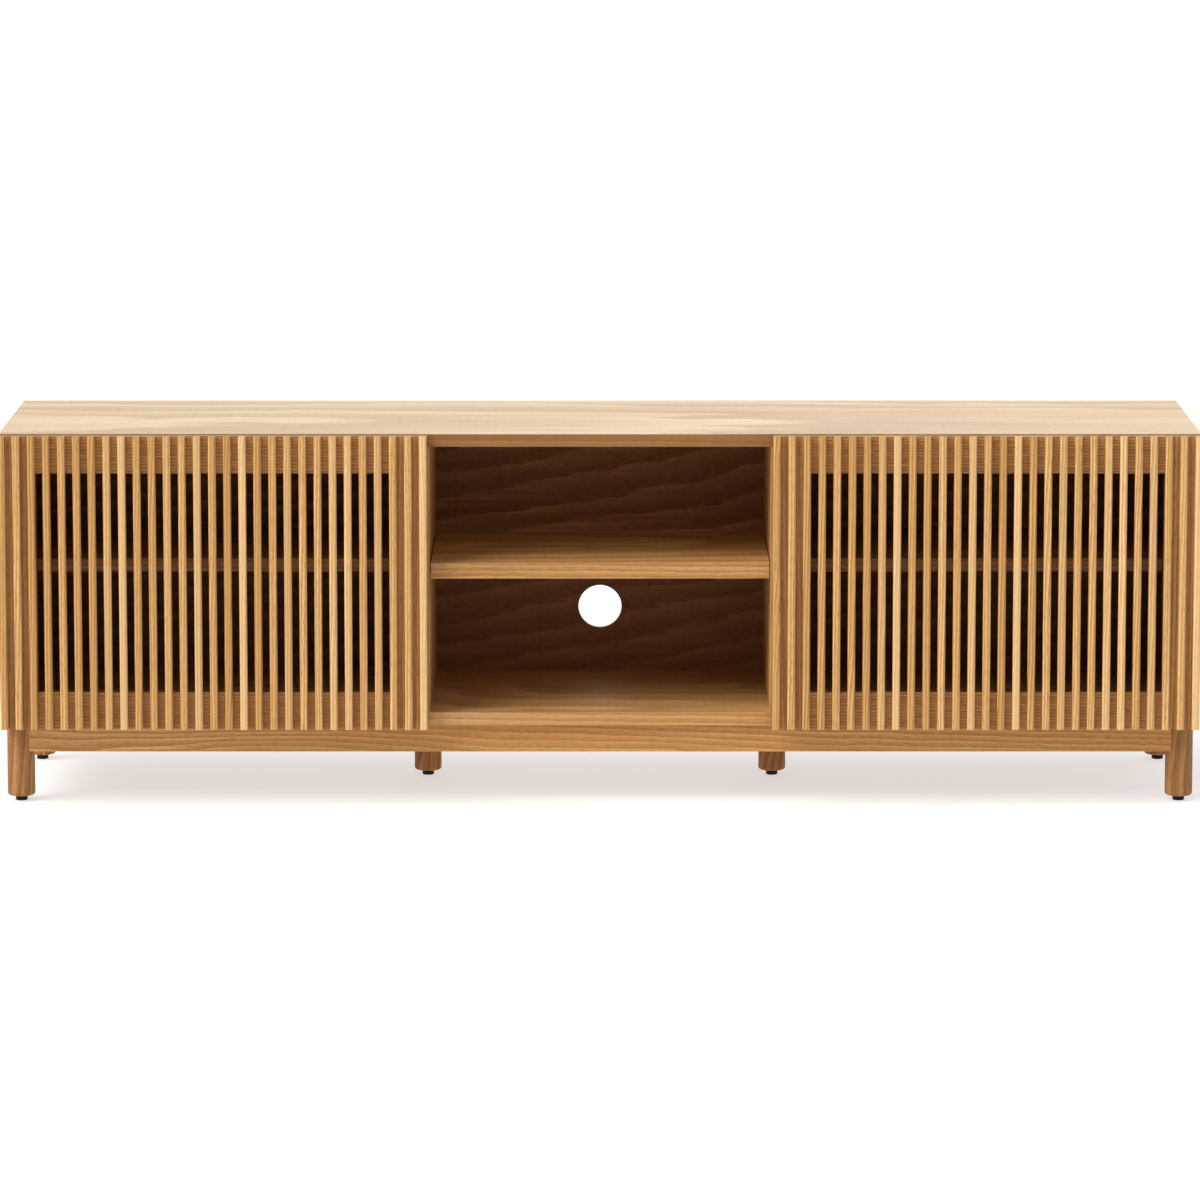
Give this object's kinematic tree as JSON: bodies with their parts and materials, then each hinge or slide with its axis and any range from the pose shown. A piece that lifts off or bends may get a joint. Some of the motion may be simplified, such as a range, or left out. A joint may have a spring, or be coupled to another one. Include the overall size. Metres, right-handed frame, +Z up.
{
  "type": "media cabinet",
  "caption": "Low oak media cabinet on short round legs: slatted hinged doors on both sides of an open niche with a shelf and a cable hole.",
  "frame": {"origin": "on the floor, at the middle of the whole box, doors included", "axes": "+X along the cabinet to the right as seen from the front, +Y to the rear, +Z up; the doors face -Y"},
  "size_m": [1.6, 0.4, 0.5],
  "materials": {
    "oak_top": "clear matt lacquer over oak veneer",
    "oak_carcass": "clear matt lacquer over oak veneer",
    "oak_back": "clear matt lacquer over oak veneer",
    "oak_door": "oiled solid oak",
    "oak_slat": "oiled solid oak",
    "oak_base": "oiled solid oak",
    "beech_dowel": "bare",
    "zinc_steel": "bright zinc plate",
    "nickel_steel": "nickel plate",
    "black_plastic": "moulded",
    "grey_plastic": "moulded"
  },
  "bodies": {
    "carcass": {"top_panel": "oak_top", "bottom_panel": "oak_carcass", "right_side_panel": "oak_carcass", "left_side_panel": "oak_carcass", "right_divider": "oak_carcass", "left_divider": "oak_carcass", "back_panel": "oak_back", "carcass_dowels": "beech_dowel", "middle_shelf": "oak_carcass", "right_shelf": "oak_carcass", "left_shelf": "oak_carcass", "shelf_pins": "zinc_steel", "front_apron": "oak_base", "rear_apron": "oak_base", "right_side_rail": "oak_base", "left_side_rail": "oak_base", "apron_screws": "zinc_steel", "leg_bolts": "zinc_steel", "foot_inserts": "zinc_steel", "hinge_plate_screws": "nickel_steel", "latch_screws": "zinc_steel", "front_right_leg": "oak_base", "front_left_leg": "oak_base", "rear_right_leg": "oak_base", "rear_left_leg": "oak_base", "middle_right_leg": "oak_base", "middle_left_leg": "oak_base", "right_hinge_arms": "nickel_steel", "right_hinge_plates": "nickel_steel", "right_latch_housing": "grey_plastic", "left_hinge_arms": "nickel_steel", "left_hinge_plates": "nickel_steel", "left_latch_housing": "grey_plastic"},
    "right_door": {"right_door_outer_stile": "oak_door", "right_door_inner_stile": "oak_door", "right_door_bottom_rail": "oak_door", "right_door_top_rail": "oak_door", "right_door_slats": "oak_slat", "right_strike_plate": "zinc_steel", "right_hinge_cups": "nickel_steel", "right_hinge_pins": "zinc_steel", "right_cup_screws": "nickel_steel"},
    "right_plunger": {"right_latch_plunger": "grey_plastic"},
    "left_door": {"left_door_outer_stile": "oak_door", "left_door_inner_stile": "oak_door", "left_door_bottom_rail": "oak_door", "left_door_top_rail": "oak_door", "left_door_slats": "oak_slat", "left_strike_plate": "zinc_steel", "left_hinge_cups": "nickel_steel", "left_hinge_pins": "zinc_steel", "left_cup_screws": "nickel_steel"},
    "left_plunger": {"left_latch_plunger": "grey_plastic"},
    "front_right_foot": {"front_right_foot": "black_plastic"},
    "front_left_foot": {"front_left_foot": "black_plastic"},
    "rear_right_foot": {"rear_right_foot": "black_plastic"},
    "rear_left_foot": {"rear_left_foot": "black_plastic"},
    "middle_right_foot": {"middle_right_foot": "black_plastic"},
    "middle_left_foot": {"middle_left_foot": "black_plastic"}
  },
  "joints": [
    {"name": "right_door_swing", "type": "hinge", "parent": "carcass", "child": "right_door", "pos_m": [0.793, -0.1815, 0.302], "axis": [0, 0, 1], "range_deg": [0, 95]},
    {"name": "left_door_swing", "type": "hinge", "parent": "carcass", "child": "left_door", "pos_m": [-0.793, -0.1815, 0.302], "axis": [0, 0, -1], "range_deg": [0, 95]},
    {"name": "right_latch_press", "type": "slide", "parent": "carcass", "child": "right_plunger", "axis": [0, 1, 0], "range_m": [0, 0.003], "stiffness_N_per_m": 400},
    {"name": "left_latch_press", "type": "slide", "parent": "carcass", "child": "left_plunger", "axis": [0, 1, 0], "range_m": [0, 0.003], "stiffness_N_per_m": 400},
    {"name": "front_right_foot_turn", "type": "hinge", "parent": "carcass", "child": "front_right_foot", "pos_m": [0.7785, -0.142, 0.02], "axis": [0, 0, 1], "continuous": true},
    {"name": "front_left_foot_turn", "type": "hinge", "parent": "carcass", "child": "front_left_foot", "pos_m": [-0.7785, -0.142, 0.02], "axis": [0, 0, 1], "continuous": true},
    {"name": "rear_right_foot_turn", "type": "hinge", "parent": "carcass", "child": "rear_right_foot", "pos_m": [0.7785, 0.172, 0.02], "axis": [0, 0, 1], "continuous": true},
    {"name": "rear_left_foot_turn", "type": "hinge", "parent": "carcass", "child": "rear_left_foot", "pos_m": [-0.7785, 0.172, 0.02], "axis": [0, 0, 1], "continuous": true},
    {"name": "middle_right_foot_turn", "type": "hinge", "parent": "carcass", "child": "middle_right_foot", "pos_m": [0.2365, 0.05, 0.02], "axis": [0, 0, 1], "continuous": true},
    {"name": "middle_left_foot_turn", "type": "hinge", "parent": "carcass", "child": "middle_left_foot", "pos_m": [-0.2365, 0.05, 0.02], "axis": [0, 0, 1], "continuous": true}
  ]
}
